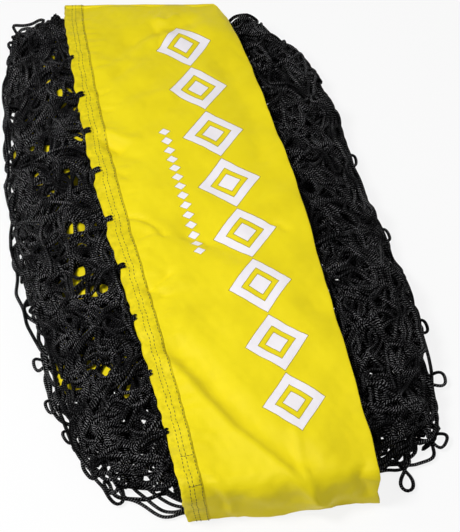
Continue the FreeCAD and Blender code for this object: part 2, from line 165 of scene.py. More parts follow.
# how far a point lies from a lozenge's middle: 1 on its rim, and large outside the row
def lozengeDistance(tree, across, along, row):
    cell = calc(tree, "DIVIDE", calc(tree, "SUBTRACT", along, row["from"]), row["pitch"])
    inCell = calc(tree, "SUBTRACT", calc(tree, "FRACT", cell), 0.5)
    length = times(tree, calc(tree, "ABSOLUTE", inCell), row["pitch"] / row["halfLength"])
    side = calc(tree, "ABSOLUTE", calc(tree, "SUBTRACT", across, row["across"]))
    width = calc(tree, "DIVIDE", side, row["halfWidth"])
    outside = calc(tree, "ADD", calc(tree, "LESS_THAN", cell, 0.0),
                   calc(tree, "GREATER_THAN", cell, float(row["count"])))
    return calc(tree, "ADD", calc(tree, "ADD", length, width), times(tree, outside, 9.0))


# 1 between two distances, with soft sides
def ring(tree, distance, low, high, soft):
    rise = fade(tree, distance, low - soft, low + soft)
    fall = fade(tree, distance, high - soft, high + soft, 1.0, 0.0)
    return times(tree, rise, fall)


def makeClothMaterial(look, name, printed):
    material, tree, shader = newMaterial(name, look["roughness"], look["specular"])
    place, across, along = layOf(tree, "clothLay")
    broad = noiseOf(tree, place, look["broadScale"], 3.0, 0.55)
    fine = noiseOf(tree, place, look["fineScale"], 2.0, 0.6)
    depth = calc(tree, "ADD", fade(tree, broad, 0.42, 0.78, 0.0, 0.30), times(tree, fine, 0.16))
    colour = mixColour(tree, depth, look["yellow"], look["deepYellow"])
    turn = 2 * math.pi / look["weavePitch"]
    warp = calc(tree, "SINE", times(tree, across, turn))
    weft = calc(tree, "SINE", times(tree, along, turn))
    weave = calc(tree, "ADD", times(tree, warp, weft), times(tree, fine, 1.2))
    if not printed:
        # the hem's puckers: noise that raises bumps in the cloth and also darkens its colour as painted shade
        gathersAndShade = noiseOf(tree, place, look["gatherScale"], 3.0, 0.6)
        colour = mixColour(tree, fade(tree, gathersAndShade, 0.35, 0.75, 0.10, 0.62), colour, look["hemPaintedShade"])
        height = calc(tree, "ADD", weave, times(tree, gathersAndShade, 9.0))
    else:
        big = lozengeDistance(tree, across, along, look["bigRow"])
        small = lozengeDistance(tree, across, along, look["smallRow"])
        rim, soft = look["bigRow"]["rim"], look["soft"]
        frameRing = ring(tree, big, look["frameInside"], 1.0, soft)
        heart = fade(tree, big, look["heart"] - soft, look["heart"] + soft, 1.0, 0.0)
        dots = fade(tree, small, 0.98, 1.02, 1.0, 0.0)
        white = calc(tree, "MAXIMUM", calc(tree, "MAXIMUM", frameRing, heart), dots)
        darkRims = ring(tree, big, 1.0, 1.0 + rim, soft)
        for edge in (look["frameInside"] - rim, look["heart"]):
            darkRims = calc(tree, "MAXIMUM", darkRims, ring(tree, big, edge, edge + rim, soft))
        darkRims = calc(tree, "MAXIMUM", darkRims, ring(tree, small, 1.0, 1.0 + look["smallRow"]["rim"], 0.02))
        colour = mixColour(tree, times(tree, darkRims, 0.8), colour, look["printRim"])
        colour = mixColour(tree, times(tree, white, 0.96), colour, look["print"])
        height = calc(tree, "ADD", weave, times(tree, white, 1.4))
    tree.links.new(colour, shader.inputs["Base Color"])
    tree.links.new(bumpOf(tree, height, 0.25, 0.0001), shader.inputs["Normal"])
    shader.inputs["Sheen Weight"].default_value = look["sheen"]
    shader.inputs["Sheen Roughness"].default_value = look["sheenRoughness"]
    return material


# braided cord: black, with slanting ribs across it; a painted highlight makes them lighter where they stand out
cordLook = {
    "dark": (0.0008, 0.0008, 0.0010, 1.0),
    # painted highlight: near-white colour laid on the braid's ribs
    "light": (0.92, 0.92, 0.95, 1.0),
    "pitch": 0.0019, "rows": 2.0,
    "roughness": 0.8, "specular": 0.03, "highlightBreakScale": 260.0, "patchScale": 60.0,
}


def makeCordMaterial(look):
    material, tree, shader = newMaterial("braidedCord", look["roughness"], look["specular"])
    place, along, around = layOf(tree, "cordLay")
    rowPlace = times(tree, around, look["rows"])
    inRow = calc(tree, "SUBTRACT", calc(tree, "FRACT", rowPlace), 0.5)
    rise = calc(tree, "COSINE", times(tree, inRow, math.pi))
    step = calc(tree, "DIVIDE", along, look["pitch"])
    slant = calc(tree, "ADD", step, rowPlace)
    pulse = calc(tree, "ABSOLUTE", calc(tree, "SUBTRACT", calc(tree, "FRACT", slant), 0.5))
    stitch = fade(tree, pulse, 0.03, 0.17, 1.0, 0.0)
    stand = times(tree, stitch, fade(tree, rise, 0.10, 0.7))
    # noise that breaks the painted highlight into scattered dashes
    highlightBreakup = noiseOf(tree, place, look["highlightBreakScale"], 2.0, 0.6)
    # patches where the painted highlight is stronger or weaker from cord to cord
    patches = objectNoise(tree, look["patchScale"], 0.5)
    share = times(tree, stand, fade(tree, highlightBreakup, 0.43, 0.62, 0.0, 1.0))
    share = times(tree, share, fade(tree, patches, 0.35, 0.65, 0.15, 1.0))
    tree.links.new(mixColour(tree, share, look["dark"], look["light"]), shader.inputs["Base Color"])
    height = calc(tree, "ADD", stand, times(tree, rise, 0.6))
    tree.links.new(bumpOf(tree, height, 0.9, 0.0005), shader.inputs["Normal"])
    return material


threadLook = {
    "dark": (0.05, 0.042, 0.008, 1.0),
    "light": (0.13, 0.11, 0.02, 1.0),
    "roughness": 0.6, "specular": 0.3, "twistScale": 1500.0,
}


def makeThreadMaterial(look):
    material, tree, shader = newMaterial("seamThread", look["roughness"], look["specular"])
    twist = objectNoise(tree, look["twistScale"], 0.6)
    tree.links.new(mixColour(tree, twist, look["dark"], look["light"]), shader.inputs["Base Color"])
    return material


clothMaterial = makeClothMaterial(clothLook, "sleeveCloth", True)
hemMaterial = makeClothMaterial(clothLook, "hemCloth", False)
cordMaterial = makeCordMaterial(cordLook)
threadMaterial = makeThreadMaterial(threadLook)
print("materials made")


# a bmesh made into a piece of the scene
def addPiece(name, mesh, material):
    for face in mesh.faces:
        face.smooth = True
    data = bpy.data.meshes.new(name)
    mesh.to_mesh(data)
    mesh.free()
    data.materials.append(material)
    piece = bpy.data.objects.new(name, data)
    scene.collection.objects.link(piece)
    return piece


def smoothStep(share):
    return share * share * (3 - 2 * share)


# sums of a few long waves: smooth seeded unevenness
def makeWaves(seed, wavelength, count=14):
    dice = np.random.default_rng(seed)
    angle = dice.uniform(0, 2 * math.pi, count)
    pitch = 2 * math.pi / (wavelength * dice.uniform(0.7, 1.5, count))
    phase = dice.uniform(0, 2 * math.pi, count)

    def height(x, y):
        x = np.asarray(x, float)[..., None]
        y = np.asarray(y, float)[..., None]
        turn = x * pitch * np.cos(angle) + y * pitch * np.sin(angle) + phase
        return np.cos(turn).sum(-1) / math.sqrt(count / 2)

    return height


# the sleeve in millimetres: where its folds lie, and the folds and puckers in its cloth
sleeveLay = {
    "left": -64.4, "width": 145.0,
    "near": (-257.4, -273.4), "far": (272.0, 243.0),  # ends of the top, each left and right
    "top": 46.4, "topRound": 15.0, "lowRound": 4.0, "farDepth": 6.0,
    "underLevel": 0.95, "underLength": 455.0,
    "lowerCrest": 29.1, "lowerFoot": 12.3, "lowerLength": 410.0, "lowerLeft": -128.0,
    "lowerFlat": (-68.0, 84.0), "lowerFall": 64.0, "lowerHeading": (-0.397, -0.918),
    "ply": 0.6, "bore": 0.4, "hemWidth": 16.0, "hemPly": 0.7,
    "farDrop": 8.5, "farRun": 64.0, "nearDrop": 2.8, "nearRun": 46.0,
    "lean": (2.0, 6.0),
    "tuckWidth": 6.5, "tuckSlope": 2.9,
    "broad": 1.2, "mid": 0.45, "fine": 0.11, "crease": 2.1, "hemWave": 0.35, "hemSink": 1.2,
}

# where netting loops hold the hem, and how far each reaches over it
tabPlaces = [
    (190, 1.2), (146, 4.6), (105, 4.4), (57, 5.0), (4, 4.4), (-47, 4.0), (-98, 1.6), (-150, 1.8), (-203, 1.4)
]

# how far the sleeve's two long edges stand out to the right of their straight line: v, shift
leftShift = [
    (-420, 0.0), (-310, 9.0), (-262, 3.2), (-239, 2.5), (-205, 2.4), (-165, 1.9), (-137, 0.2), (-94, -0.6),
    (-64, -1.8), (-17, -3.6), (50, -4.2), (82, -4.0), (117, -2.9), (153, -1.8), (190, 0.2), (229, 2.8),
    (250, 5.5), (275, 8.0), (300, 6.0), (340, 0.0)
]
rightShift = [
    (-400, 0.0), (-318, -1.4), (-304, -4.2), (-294, -5.6), (-282, -4.6), (-263, -4.2), (-225, -2.8),
    (-185, -1.0), (-143, 0.8), (-99, 2.0), (-69, 3.7), (-38, 5.4), (11, 6.1), (45, 5.7), (98, 4.0), (135, 3.2),
    (174, 1.2), (208, -1.4), (240, -3.0), (300, 0.0)
]

# creases as they lie in the cloth: height, half width, sharpness, then points (x, y) in mm
creases = [
    (2.6, 7.0, 1.3, [(-50, -140), (-28, -188), (-16, -213), (4, -239), (24, -270), (40, -292)]),
    (-2.2, 13.0, 2.0, [(-40, -135), (-10, -205), (22, -246)]),
    (1.0, 3.2, 1.4, [(27, -222), (26, -250), (31, -285)]),
    (-1.2, 2.2, 1.5, [(-50, 4), (-38, -2), (-30, -13), (-26, -23)]),
    (0.9, 4.0, 1.6, [(-50, -3), (-36, -10), (-30, -24)]),
    (-0.8, 2.4, 1.5, [(-48, -24), (-38, -18), (-28, -22)]),
    (-1.6, 4.5, 1.6, [(-48, -74), (-42, -70), (-32, -62)]),
    (1.0, 5.5, 1.8, [(-50, -80), (-36, -72), (-24, -70)]),
    (-1.1, 5.0, 1.8, [(-10, -26), (-3, -32), (4, -38)]),
    (-0.9, 2.6, 1.5, [(53, -28), (58, -31), (62, -38)]),
    (-1.7, 9.0, 1.9, [(-24, 186), (-12, 200), (8, 210), (44, 214)]),
    (1.2, 7.0, 1.8, [(-18, 178), (0, 198), (20, 203)]),
    (1.2, 3.4, 1.4, [(18, 224), (25, 219), (34, 225)]),
    (-0.9, 3.4, 1.5, [(12, 222), (15, 204), (12, 190)]),
    (-1.4, 6.0, 1.7, [(-28, 163), (-20, 172), (-13, 183)]),
    (-1.5, 5.0, 1.6, [(-56, 98), (-48, 87), (-40, 78)]),
    (-1.3, 7.0, 1.8, [(-46, 84), (-38, 70), (-30, 64)]),
    (1.2, 5.0, 1.7, [(-52, 104), (-40, 90), (-28, 84)]),
    (-1.0, 12.0, 2.0, [(-24, 0), (-2, -22), (22, -50)]),
    (-1.2, 10.0, 2.0, [(60, 150), (66, 90), (62, 40)]),
    (0.9, 8.0, 2.0, [(-30, 120), (-12, 130), (6, 128)]),
    (-1.0, 3.5, 1.5, [(-46, -250), (-40, -262), (-36, -280)]),
    (1.0, 3.5, 1.5, [(-42, -246), (-34, -262), (-30, -290)]),
    (-1.4, 5.0, 1.6, [(70, -262), (66, -276), (72, -292)]),
    (0.8, 9.0, 2.0, [(-10, -275), (20, -288), (60, -290)]),
]


def seamPuckers(seed=5):
    dice = np.random.default_rng(seed)
    found = []
    y = -250.0
    while y < 246:
        length = dice.uniform(5, 17)
        slope = dice.uniform(-0.7, 0.5)
        start = (sleeveLay["left"] + sleeveLay["hemWidth"] - 1.0, y)
        end = (start[0] + length, y + slope * length)
        found.append((dice.uniform(-0.9, 0.7), dice.uniform(1.4, 2.8), 1.6, [start, end]))
        y += dice.uniform(4, 13)
    return found


def creaseHeight(x, y, folds):
    total = np.zeros(np.broadcast(x, y).shape)
    for height, width, sharp, points in folds:
        nearest = np.full(total.shape, 1e6)
        for (ax, ay), (bx, by) in zip(points, points[1:]):
            run = (bx - ax) ** 2 + (by - ay) ** 2
            share = np.clip(((x - ax) * (bx - ax) + (y - ay) * (by - ay)) / run, 0, 1)
            gap = np.hypot(x - ax - share * (bx - ax), y - ay - share * (by - ay))
            nearest = np.minimum(nearest, gap)
        total += height * np.exp(-(nearest / width) ** sharp)
    return total


broadWave = makeWaves(21, 95.0)
midWave = makeWaves(22, 34.0)
hemWave = makeWaves(23, 15.0)
fineWave = makeWaves(24, 9.0)
allCreases = creases + seamPuckers()


def acrossSleeve(x, end):
    left, right = sleeveLay[end]
    return left + (x - sleeveLay["left"]) / sleeveLay["width"] * (right - left)


def nearEdge(x):
    return acrossSleeve(x, "near")


# the far fold, with the tucked corner at its right end
def farEdge(x):
    straight = acrossSleeve(x, "far")
    tucked = np.clip(x - sleeveLay["left"] - sleeveLay["width"] + sleeveLay["tuckWidth"], 0, None)
    return straight - sleeveLay["tuckSlope"] * tucked


# underside of the sleeve's lower pass, arched over the netting below it
def lowerLevel(x):
    low, high = sleeveLay["lowerFlat"]
    share = smoothStep(np.clip(np.maximum(low - x, x - high) / sleeveLay["lowerFall"], 0, 1))
    return sleeveLay["lowerCrest"] + share * (sleeveLay["lowerFoot"] - sleeveLay["lowerCrest"])


# lengths along the cloth: near top bend, near wall, near low bend, far fold
def foldLengths():
    lay = sleeveLay
    farRadius = ((lay["top"] - lay["lowerCrest"]) / 2 + lay["farDepth"]) / 2
    wall = lay["top"] - lay["topRound"] - lay["lowRound"]
    return lay["topRound"] * math.pi / 2, wall, lay["lowRound"] * math.pi / 2, farRadius * math.pi


# where the cloth's outer face lies: u mm from the left edge, v mm along it (v is Y on the top)
def clothAt(u, v):
    lay = sleeveLay
    top, topRound, lowRound, farDepth = [lay[name] for name in ("top", "topRound", "lowRound", "farDepth")]
    x = lay["left"] + u
    near, far = nearEdge(x), farEdge(x)
    y, z, ny, nz = v.copy(), np.full(u.shape, top), np.zeros(u.shape), np.ones(u.shape)

    # take new places and facings where the cloth has got that far
    def taken(here, *values):
        return [np.where(here, new, old) for new, old in zip(values, (y, z, ny, nz))]

    # back over the near fold, down the near face and under the bundle
    arc, wall, lowArc, farArc = foldLengths()
    back = near + topRound - v
    turn = np.clip(back / arc, 0, 1) * math.pi / 2
    y, z, ny, nz = taken(back > 0, near + topRound - topRound * np.sin(turn),
                         top - topRound + topRound * np.cos(turn), -np.sin(turn), np.cos(turn))
    z = np.where(back > arc, top - topRound - np.clip(back - arc, 0, wall), z)
    turn = np.clip((back - arc - wall) / lowArc, 0, 1) * math.pi / 2
    y, z, ny, nz = taken(back > arc + wall, near + lowRound * (1 - np.cos(turn)),
                         lowRound * (1 - np.sin(turn)) + lay["underLevel"] * turn / (math.pi / 2),
                         -np.cos(turn), -np.sin(turn))
    y = np.where(back > arc + wall + lowArc, near + lowRound + back - arc - wall - lowArc, y)
    lean = lay["lean"][0] + u / lay["width"] * (lay["lean"][1] - lay["lean"][0])
    y = y + lean * np.clip(back / (arc + wall + lowArc), 0, 1)
    # over the far fold and on as the lower pass, which leaves at a slant
    ahead = v - (far - farDepth)
    radius = (top - lay["lowerCrest"]) / 2
    turn = np.clip(ahead / farArc, 0, 1) * math.pi
    y, z, ny, nz = taken(ahead > 0, far - farDepth + farDepth * np.sin(turn),
                         top - radius + radius * np.cos(turn), np.sin(turn), np.cos(turn))
    run = np.clip(ahead - farArc, 0, None)
    x = x + run * lay["lowerHeading"][0]
    y = y + run * lay["lowerHeading"][1]
    folded = np.clip(lay["lowerLeft"] - x, 0, None)
    x = x + 2 * folded
    bulge = glimpseRise(x, y, insideGrid(x, y))
    z = np.where(run > 0, lowerLevel(x) + bulge - np.clip(folded, 0, 1.0) * 1.9, z)
    nz = np.where((run > 0) & (folded > 0.5), -nz, nz)
    return x, y, z, ny, nz


# unevenness of the cloth, outwards from its face
def clothRise(u, v):
    lay = sleeveLay
    x = lay["left"] + u
    top = np.clip((v - nearEdge(x) + 55) / 20, 0, 1) * np.clip((farEdge(x) + 10 - v) / 14, 0, 1)
    rise = lay["broad"] * broadWave(x, v) + lay["mid"] * midWave(x, v) + lay["fine"] * fineWave(x, v)
    rise = rise + lay["crease"] * creaseHeight(x, v, allCreases)
    nearHem = np.exp(-np.clip(u, 0, None) / 22)
    rise = rise + nearHem * (lay["hemWave"] * hemWave(x * 0.6, v) - lay["hemSink"])
    farShare = np.clip((v - farEdge(x)) / lay["farRun"] + 1, 0, 1.1)
    nearShare = np.clip(1 - np.abs(v - nearEdge(x) - 4) / lay["nearRun"], 0, 1)
    rise = rise - lay["farDrop"] * farShare ** 1.7
    rise = rise - lay["nearDrop"] * nearShare * nearShare * (3 - 2 * nearShare)
    return rise * top


# sideways course of the sleeve's edges, and waviness of the hem's free edge
def edgeSway(u, v):
    left = np.exp(-np.clip(u, 0, None) / 12)
    right = np.exp(-np.clip(sleeveLay["width"] - u, 0, None) / 14)
    share = np.clip(u / sleeveLay["width"], 0, 1)
    course = (1 - share) * np.interp(v, *np.array(leftShift).T) + share * np.interp(v, *np.array(rightShift).T)
    pulled = np.zeros(np.shape(v))
    for y, _ in tabPlaces[:6]:
        pulled = pulled + 1.3 * np.exp(-((v - y) / 4.5) ** 2)
    sway = left * (0.45 * hemWave(3.0, v) + 0.30 * midWave(9.0, v) + pulled)
    return course + sway + right * 0.25 * midWave(40.0, v)


# a point of the cloth at a depth below its outer face
def clothPoint(u, v, depth):
    x, y, z, ny, nz = clothAt(u, v)
    offset = clothRise(u, v) - depth
    return x + edgeSway(u, v), y + ny * offset, z + nz * offset


# rows of places across the cloth, so many to each stretch of it
def rowsAlong(u, counts):
    lay = sleeveLay
    arc, wall, lowArc, farArc = foldLengths()
    near = nearEdge(lay["left"] + u) + lay["topRound"]
    far = farEdge(lay["left"] + u) - lay["farDepth"]
    foot = near - arc - wall - lowArc
    stretches = {"under": (foot - lay["underLength"], foot), "near": (foot, near), "top": (near, far),
                 "far": (far, far + farArc), "lower": (far + farArc, far + farArc + lay["lowerLength"])}
    rows = [start + share * (end - start) for name, (start, end) in stretches.items()
            for share in np.linspace(0, 1, counts[name], endpoint=False)]
    return np.array(rows + [stretches["lower"][1]])


# a grid laid along the cloth's path, with its flat place as a UV map
def layGrid(name, columns, depths, rows, material, thickness):
    mesh = bmesh.new()
    uvLay = mesh.loops.layers.uv.new("clothLay")
    bmesh.ops.create_grid(mesh, x_segments=len(columns) - 1, y_segments=len(rows) - 1, size=0.5)
    mesh.verts.ensure_lookup_table()
    order = sorted(range(len(mesh.verts)), key=lambda i: (round(mesh.verts[i].co.y, 6), mesh.verts[i].co.x))
    place = np.empty(len(order), int)
    place[order] = np.arange(len(order))
    spots = np.stack(clothPoint(np.broadcast_to(columns, rows.shape), rows, depths), -1).reshape(-1, 3) * mm
    girth = np.cumsum(np.r_[0, np.hypot(np.diff(columns), np.diff(depths))]) * mm
    flat = np.stack([np.broadcast_to(girth, rows.shape), rows * mm], -1).reshape(-1, 2)
    for vertex in mesh.verts:
        vertex.co = spots[place[vertex.index]]
    for face in mesh.faces:
        for corner in face.loops:
            corner[uvLay].uv = flat[place[corner.vert.index]]
    piece = addPiece(name, mesh, material)
    solid = piece.modifiers.new("cloth", "SOLIDIFY")
    solid.thickness = thickness * mm
    solid.offset = 0
    solid.use_even_offset = False
    return piece


def makeSleeve():
    lay = sleeveLay
    depth = lay["ply"] / 2
    inner = lay["ply"] * 1.5 + lay["bore"]
    upper = np.r_[np.linspace(0, 20, 9, endpoint=False), np.linspace(20, lay["width"] - 3, 52)]
    turn = np.linspace(0, math.pi, 6)
    radius = (inner - depth) / 2
    foldU = lay["width"] - 0.6 + radius * np.sin(turn)
    foldDepth = (inner + depth) / 2 - radius * np.cos(turn)
    under = np.linspace(lay["width"] - 3, 0.0, 30)
    columns = np.r_[upper, foldU, under]
    depths = np.r_[np.full(len(upper), depth), foldDepth, np.full(len(under), inner)]
    rows = rowsAlong(columns, {"under": 40, "near": 24, "top": 214, "far": 10, "lower": 104})
    return layGrid("sleeveCloth", columns, depths, rows, clothMaterial, lay["ply"])


def makeHem():
    lay = sleeveLay
    whole = 2 * lay["ply"] + lay["bore"]
    upper = np.linspace(lay["hemWidth"], 0.4, 9)
    turn = np.linspace(0, math.pi, 7)[1:-1]
    radius = whole / 2 + 0.4
    sideU = 0.2 - radius * np.sin(turn) * 0.8
    sideDepth = whole / 2 - radius * np.cos(turn)
    under = np.linspace(0.4, lay["hemWidth"], 6)
    columns = np.r_[upper, sideU, under]
    depths = np.r_[np.full(len(upper), -0.4), sideDepth, np.full(len(under), whole + 0.4)]
    depths[0] = 0.1
    rows = rowsAlong(columns, {"under": 90, "near": 22, "top": 236, "far": 10, "lower": 4})
    return layGrid("sleeveHem", columns, depths, rows[:-4], hemMaterial, lay["hemPly"])


# stitches: three rows of thread dashes along the hem and two short cross tacks
stitchLay = {
    "rows": (5.6, 8.9, 14.6), "pitch": 3.3, "length": 2.5, "thread": 0.62,
    "tacks": [(-226.0, 6.0, 14.0), (-251.0, 6.0, 14.0)],
}


def makeStitches(lay):
    mesh = bmesh.new()
    dice = np.random.default_rng(8)
    places = []
    for seam in lay["rows"]:
        low = nearEdge(sleeveLay["left"]) - 55 - 440
        for v in np.arange(low, farEdge(sleeveLay["left"]) + 12, lay["pitch"]):
            places.append((seam + dice.normal(0, 0.12), v, 0.0, 1.0))
    for v, start, end in lay["tacks"]:
        for u in np.arange(start, end, 2.4):
            places.append((u, v + dice.normal(0, 0.2), 1.0, 0.0))
    u, v, du, dv = np.array(places).T
    surface = -0.80
    around = [clothPoint(u + step * du, v + step * dv, surface - lift)
              for step, lift in ((0, 0), (1, 0), (-1, 0), (0, 1))]
    size = Matrix.Diagonal((lay["length"] / 2, lay["thread"] / 2, lay["thread"] * 0.42, 1 / mm)) * mm
    for spot, front, back, high in np.transpose(around, (2, 0, 1)):
        along = Vector(front - back).normalized()
        outward = Vector(high - spot)
        outward = (outward - along * outward.dot(along)).normalized()
        turn = Matrix((along, outward.cross(along).normalized(), outward)).transposed().to_4x4()
        lie = Matrix.Translation(Vector(spot) * mm) @ turn @ size
        bmesh.ops.create_icosphere(mesh, subdivisions=1, radius=1.0, matrix=lie)
    return addPiece("hemStitches", mesh, threadMaterial)


# netting: one long net laid to and fro in many crumpled layers, strand by strand
nettingLay = {
    "cord": 3.0, "strand": 50.0, "step": 3.2,
    "outline": [
        (-48, -243), (-58, -239), (-69, -236), (-77, -228), (-84, -227), (-90, -222), (-95, -222), (-101, -223),
        (-107, -219), (-113, -214), (-118, -201), (-125, -186), (-129, -171), (-131, -157), (-133, -143),
        (-138, -128), (-136, -115), (-138, -100), (-137, -85), (-141, -70), (-145, -54), (-145, -38),
        (-149, -22), (-145, -7), (-144, 8), (-146, 25), (-144, 41), (-139, 56), (-141, 74), (-141, 91),
        (-136, 107), (-134, 125), (-133, 142), (-131, 160), (-128, 178), (-128, 197), (-125, 215), (-117, 233),
        (-113, 252), (-111, 270), (-104, 270), (-95, 267), (-88, 271), (-79, 276), (-68, 280), (-57, 281),
        (-50, 262), (74, 236), (84, 247), (98, 243), (112, 231), (128, 211), (141, 193), (147, 172), (149, 152),
        (149, 133), (152, 113), (152, 95), (149, 77), (150, 59), (150, 41), (150, 24), (149, 7), (153, -11),
        (154, -28), (153, -44), (154, -61), (158, -77), (158, -93), (155, -108), (154, -122), (154, -137),
        (152, -152), (150, -166), (147, -179), (144, -193), (142, -206), (138, -218), (128, -231), (119, -237),
        (111, -238), (103, -239), (97, -242), (88, -243), (78, -249)
    ],
    # each layer: inset from the outline, turn of its meshes, gathered mesh across and along
    "layers": [
        (1, 4, 24, 34), (9, -8, 26, 36), (3, 12, 25, 32), (16, -4, 24, 36), (6, 7, 27, 34), (22, -11, 24, 34),
        (12, 3, 25, 34), (3, -7, 21, 27), (20, 9, 20, 28), (8, -12, 22, 26), (14, 6, 20, 27), (4, 14, 21, 27),
        (11, -5, 20, 26), (18, 4, 21, 27), (6, 10, 20, 26), (13, -9, 22, 27), (9, -3, 21, 26)
    ],
    "lowerLayers": 7,
    # openings through the upper layers, where the cloth below shows: x, y, half width
    "openings": [
        (-97.5, -45.0, 4.4), (-96.5, -53.0, 3.8), (-93.4, 10.5, 4.0), (-87.5, 9.0, 3.2), (-94.3, -34.1, 3.6),
        (-72.2, 165.2, 3.6), (-86.3, -52.1, 3.6), (-104.8, 55.4, 3.6), (-86.1, 182.3, 3.5), (-73.5, 107.7, 3.4),
        (-111.2, 70.8, 3.4), (-115.4, -137.9, 3.2), (-80.7, -55.9, 3.1), (-98.7, 106.6, 3.2),
        (-90.3, -9.6, 3.1), (-108.7, 116.3, 3.3), (-85.6, -39.8, 2.9), (-79.3, 164.9, 2.9), (-113.3, 81.9, 2.9),
        (-88.5, 69.7, 2.8), (-118.2, 168.8, 3.1)
    ],
    "openingSlope": (-1.7, -7.3), "glimpseDepth": 7.0, "glimpseSpread": 4,
    "openingReach": 2.2, "openingShove": 1.3,
    "hidden": (-42, 58),  # from here to here the upper layers aren't seen and aren't made
    "reach": (200, 320),  # half size of the height field, 1 mm to the cell
    "wander": (7, 3.0, 3.5),  # unevenness of the meshes: long waves, short waves, single corners
    "bow": (0.45, 0.235), "tailSpread": 9, "tailInset": 14,
    "bed": 0.86, "cling": 0.35, "tailDive": 4.0, "tailRun": 6,
    "squeeze": (0.30, 1.15), "roofGap": 3.6,
}
outlineStart = np.array(nettingLay["outline"], float)
outlineEnd = np.roll(outlineStart, -1, axis=0)


# signed distance to the outline (positive inside) and the nearest point on it
def insideBy(points):
    run = outlineEnd - outlineStart
    share = np.clip(((points[:, None] - outlineStart) * run).sum(-1) / (run * run).sum(-1), 0, 1)
    foot = outlineStart + share[..., None] * run
    gap = np.linalg.norm(points[:, None] - foot, axis=-1)
    best = gap.argmin(1)
    rows = np.arange(len(points))
    level = points[:, None, 1]
    above = (outlineStart[:, 1] > level) != (outlineEnd[:, 1] > level)
    climb = run[:, 1] + (run[:, 1] == 0) * 1e-9
    crossing = outlineStart[:, 0] + (level - outlineStart[:, 1]) * run[:, 0] / climb
    inside = ((crossing > points[:, None, 0]) & above).sum(1) % 2 == 1
    distance = gap[rows, best] * np.where(inside, 1, -1)
    return distance, foot[rows, best]


def insideGrid(x, y):
    return insideBy(np.stack([x.ravel(), y.ravel()], -1))[0].reshape(x.shape)


# keep points at least an inset inside the outline; those beyond gather along it
def gatherInside(points, inset, slack=0.0):
    points = points.copy()
    for _ in range(3):
        distance, foot = insideBy(points)
        inward = foot - points
        length = np.linalg.norm(inward, axis=1, keepdims=True) + 1e-9
        inward = inward / length * np.where(distance[:, None] > 0, -1, 1)
        lack = np.clip(inset - distance, 0, None)
        points += inward * (lack * (1 - slack))[:, None]
    return points


def smoothLine(points, passes):
    for _ in range(passes):
        points[1:-1] = (points[:-2] + 2 * points[1:-1] + points[2:]) / 4
    return points


# steps to the nearer end of a row
def fromEnds(count):
    return np.minimum(np.arange(count), np.arange(count)[::-1])


def resample(points, step):
    gaps = np.linalg.norm(np.diff(points, axis=0), axis=1)
    length = np.r_[0, np.cumsum(gaps)]
    count = max(int(length[-1] / step), 4)
    marks = np.linspace(0, length[-1], count)
    return np.stack([np.interp(marks, length, points[:, axis]) for axis in range(points.shape[1])], -1)


# one cord through a row of mesh corners, its spare length thrown into bows
def bowedCord(nodes, strand, dice):
    single, double = nettingLay["bow"]
    pieces = []
    shares = np.linspace(0, 1, 9)[:-1]
    for start, end in zip(nodes, nodes[1:]):
        chord = end - start
        gap = np.linalg.norm(chord) + 1e-6
        spare = math.sqrt(max(strand ** 2 - gap ** 2, 0)) * 0.95
        first = single * spare * dice.uniform(-1, 1)
        second = double * spare * dice.uniform(0.4, 1) * dice.choice((-1, 1))
        aside = np.array([-chord[1], chord[0]]) / gap
        throw = first * np.sin(math.pi * shares) + second * np.sin(2 * math.pi * shares)
        pieces.append(start + shares[:, None] * chord + throw[:, None] * aside)
    line = np.concatenate(pieces + [nodes[-1:]])
    return smoothLine(line, 2)


# one layer of the net: uneven corners, then cords both ways
def layerCords(index, dice):
    lay = nettingLay
    longWander, shortWander, cornerWander = lay["wander"]
    inset, turn, across, along = lay["layers"][index]
    turn = math.radians(turn)
    columns = int(420 / across)
    rows = int(700 / along)
    a, b = np.meshgrid(np.arange(columns) - columns / 2, np.arange(rows) - rows / 2, indexing="ij")
    x = a * across + dice.uniform(-10, 10)
    y = b * along + dice.uniform(-10, 10)
    shiftX, shiftY = [longWander * makeWaves(seed + index, 110.0)(x, y)
                      + shortWander * makeWaves(seed + 200 + index, 46.0)(x, y)
                      + dice.normal(0, cornerWander, x.shape) for seed in (100, 200)]
    px = math.cos(turn) * x - math.sin(turn) * y + shiftX
    py = math.sin(turn) * x + math.cos(turn) * y + shiftY
    nodes = np.stack([px, py], -1)
    distance = insideGrid(px, py) - inset
    lines = []
    for grid, away in ((nodes, distance), (nodes.transpose(1, 0, 2), distance.T)):
        for line, depth in zip(grid, away):
            kept = np.flatnonzero(depth > -0.6 * across)
            if len(kept) < 3:
                continue
            chain = gatherInside(line[kept[0]:kept[-1] + 1], inset + dice.uniform(0, 4))
            for way in (1, -1):
                chain = chain[::way]
                back = chain[-1] + (chain[-2] - chain[-1]) * 0.6 + dice.normal(0, lay["tailSpread"], 2)
                chain = np.vstack([chain, gatherInside(back[None], inset + lay["tailInset"])])
            lines.append(chain)
    dice.shuffle(lines)
    cords = []
    for line in lines:
        curve = bowedCord(line, lay["strand"], dice)
        curve = gatherInside(curve, inset - 1.5, 0.12)
        curve = smoothLine(resample(smoothLine(curve, 1), lay["step"]), 2)
        if index >= lay["lowerLayers"]:
            curve = smoothLine(keepOpen(curve), 1)
        cords += openRuns(curve, index)
    return cords


